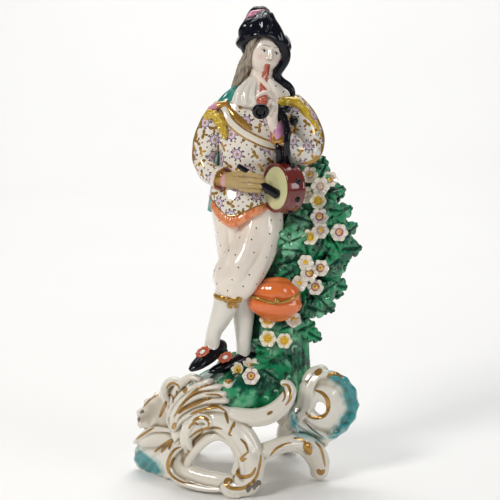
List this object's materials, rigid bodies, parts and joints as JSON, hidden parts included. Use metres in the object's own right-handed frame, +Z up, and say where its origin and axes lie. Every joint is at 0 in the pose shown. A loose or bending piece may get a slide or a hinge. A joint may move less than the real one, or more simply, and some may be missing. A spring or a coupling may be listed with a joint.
{
  "type": "porcelain figure of a pipe and tabor player",
  "caption": "Glazed porcelain figure of a pipe and tabor player standing against a flowering tree stump, on a high pierced base of scrolls and shells.",
  "frame": {"origin": "middle of the base's footprint, on the table that the feet stand on", "axes": "+Z up, the player faces -Y, the shell with the hole is on the +X side"},
  "size_m": [0.139, 0.0914, 0.2846],
  "materials": {
    "glazed_porcelain": "glossy clear glaze over white paste, painted in enamels and gilt"
  },
  "bodies": {
    "root": {"porcelain_figure": "glazed_porcelain"}
  },
  "joints": []
}
